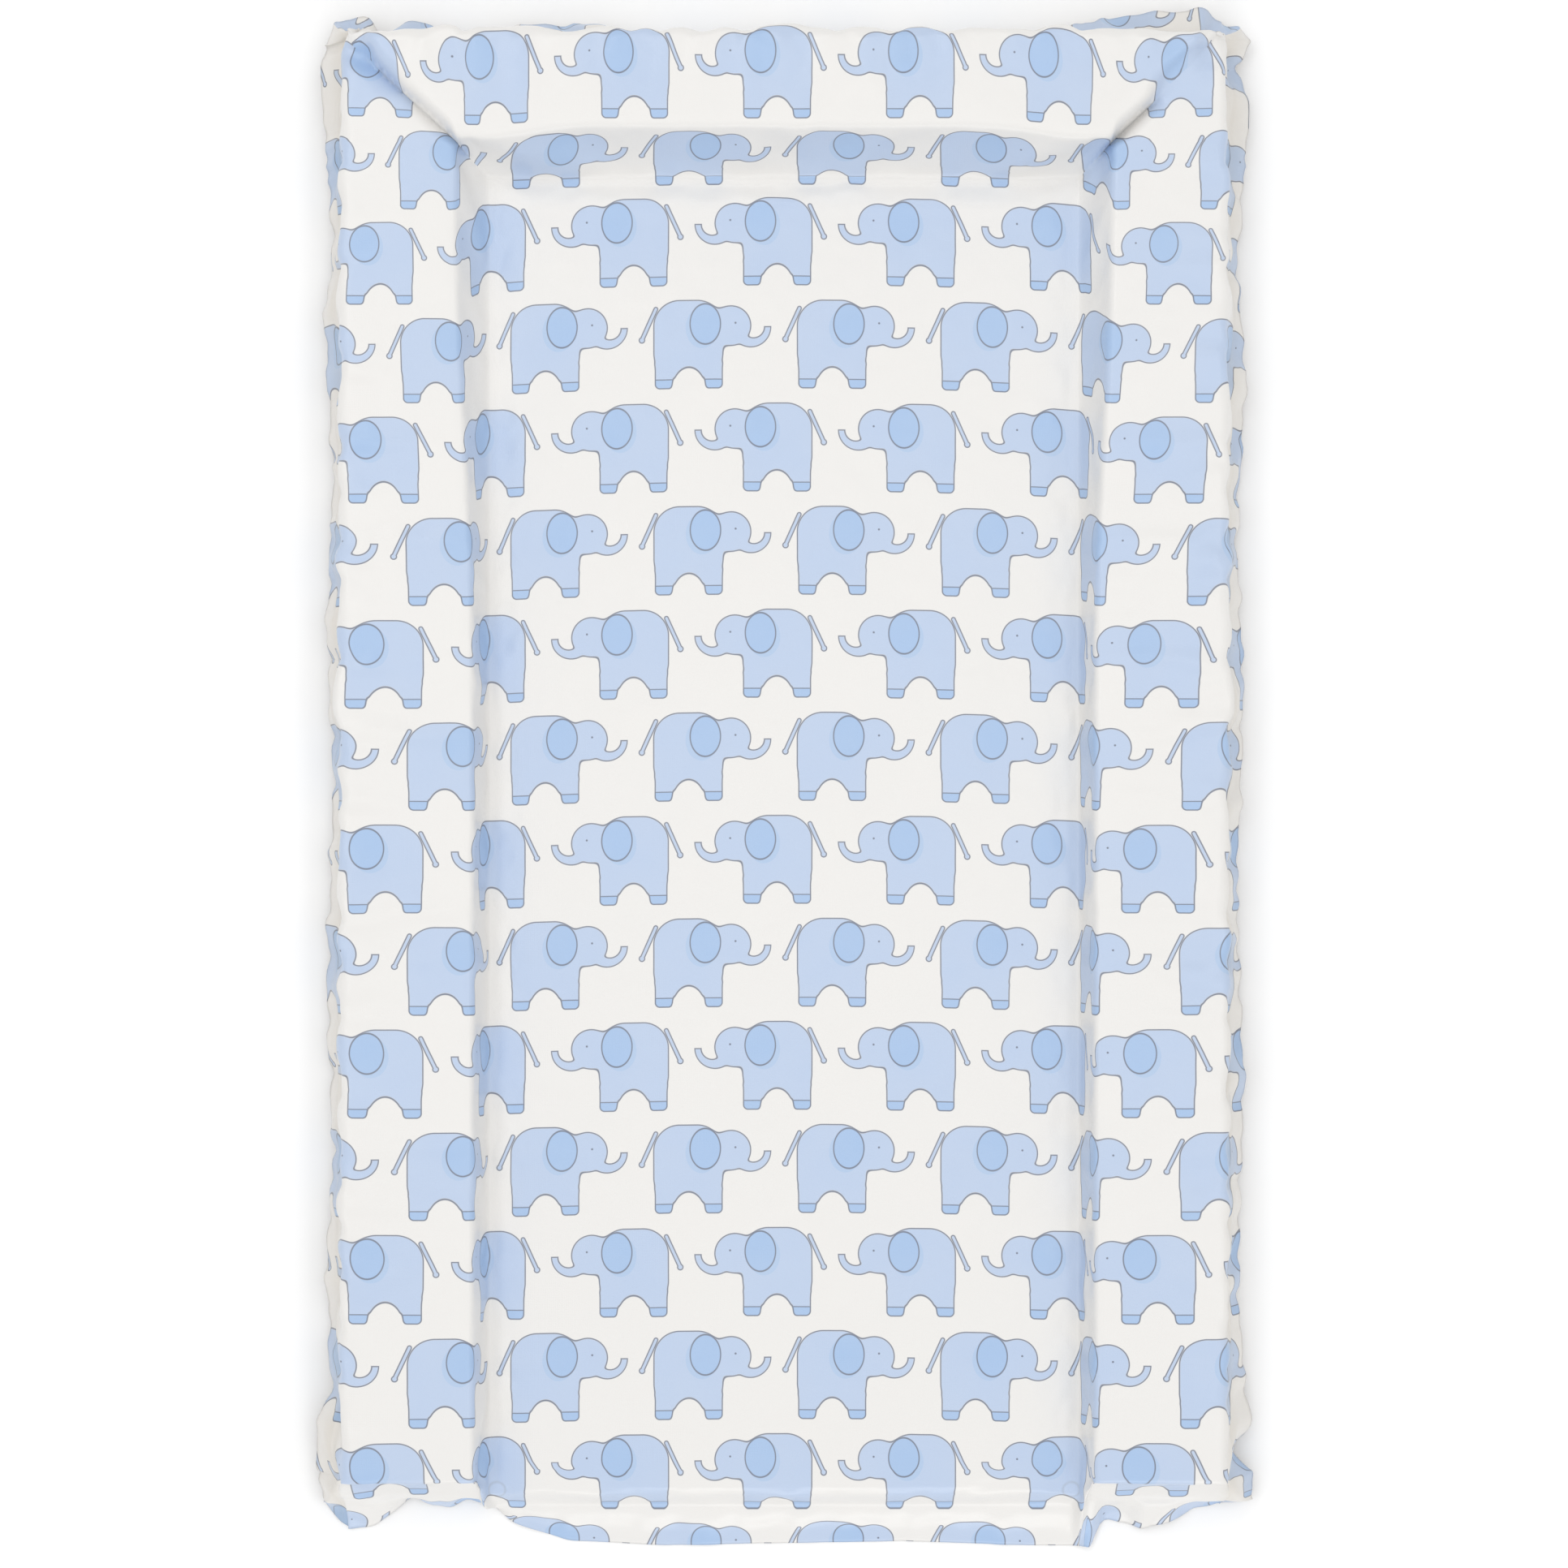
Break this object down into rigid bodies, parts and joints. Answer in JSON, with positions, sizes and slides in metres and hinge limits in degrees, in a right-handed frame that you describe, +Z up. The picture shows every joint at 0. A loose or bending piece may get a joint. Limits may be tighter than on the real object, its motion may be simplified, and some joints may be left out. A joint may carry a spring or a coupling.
{
  "type": "changing pad",
  "caption": "Wipe-clean vinyl changing mat: thin foam pad with raised foam bars on both sides and at the head, sealed between a printed sheet and a plain backing.",
  "frame": {"origin": "middle of the underside, on the floor", "axes": "+X across the mat to the right, +Y along the mat towards the raised head end, +Z up"},
  "size_m": [0.454, 0.75, 0.044],
  "materials": {
    "printed_vinyl": "satin",
    "backing_vinyl": "satin",
    "foam": "matte"
  },
  "bodies": {
    "root": {"top_sheet": "printed_vinyl", "backing_sheet": "backing_vinyl", "base_foam": "foam", "head_foam": "foam", "left_side_foam": "foam", "right_side_foam": "foam"}
  },
  "joints": []
}
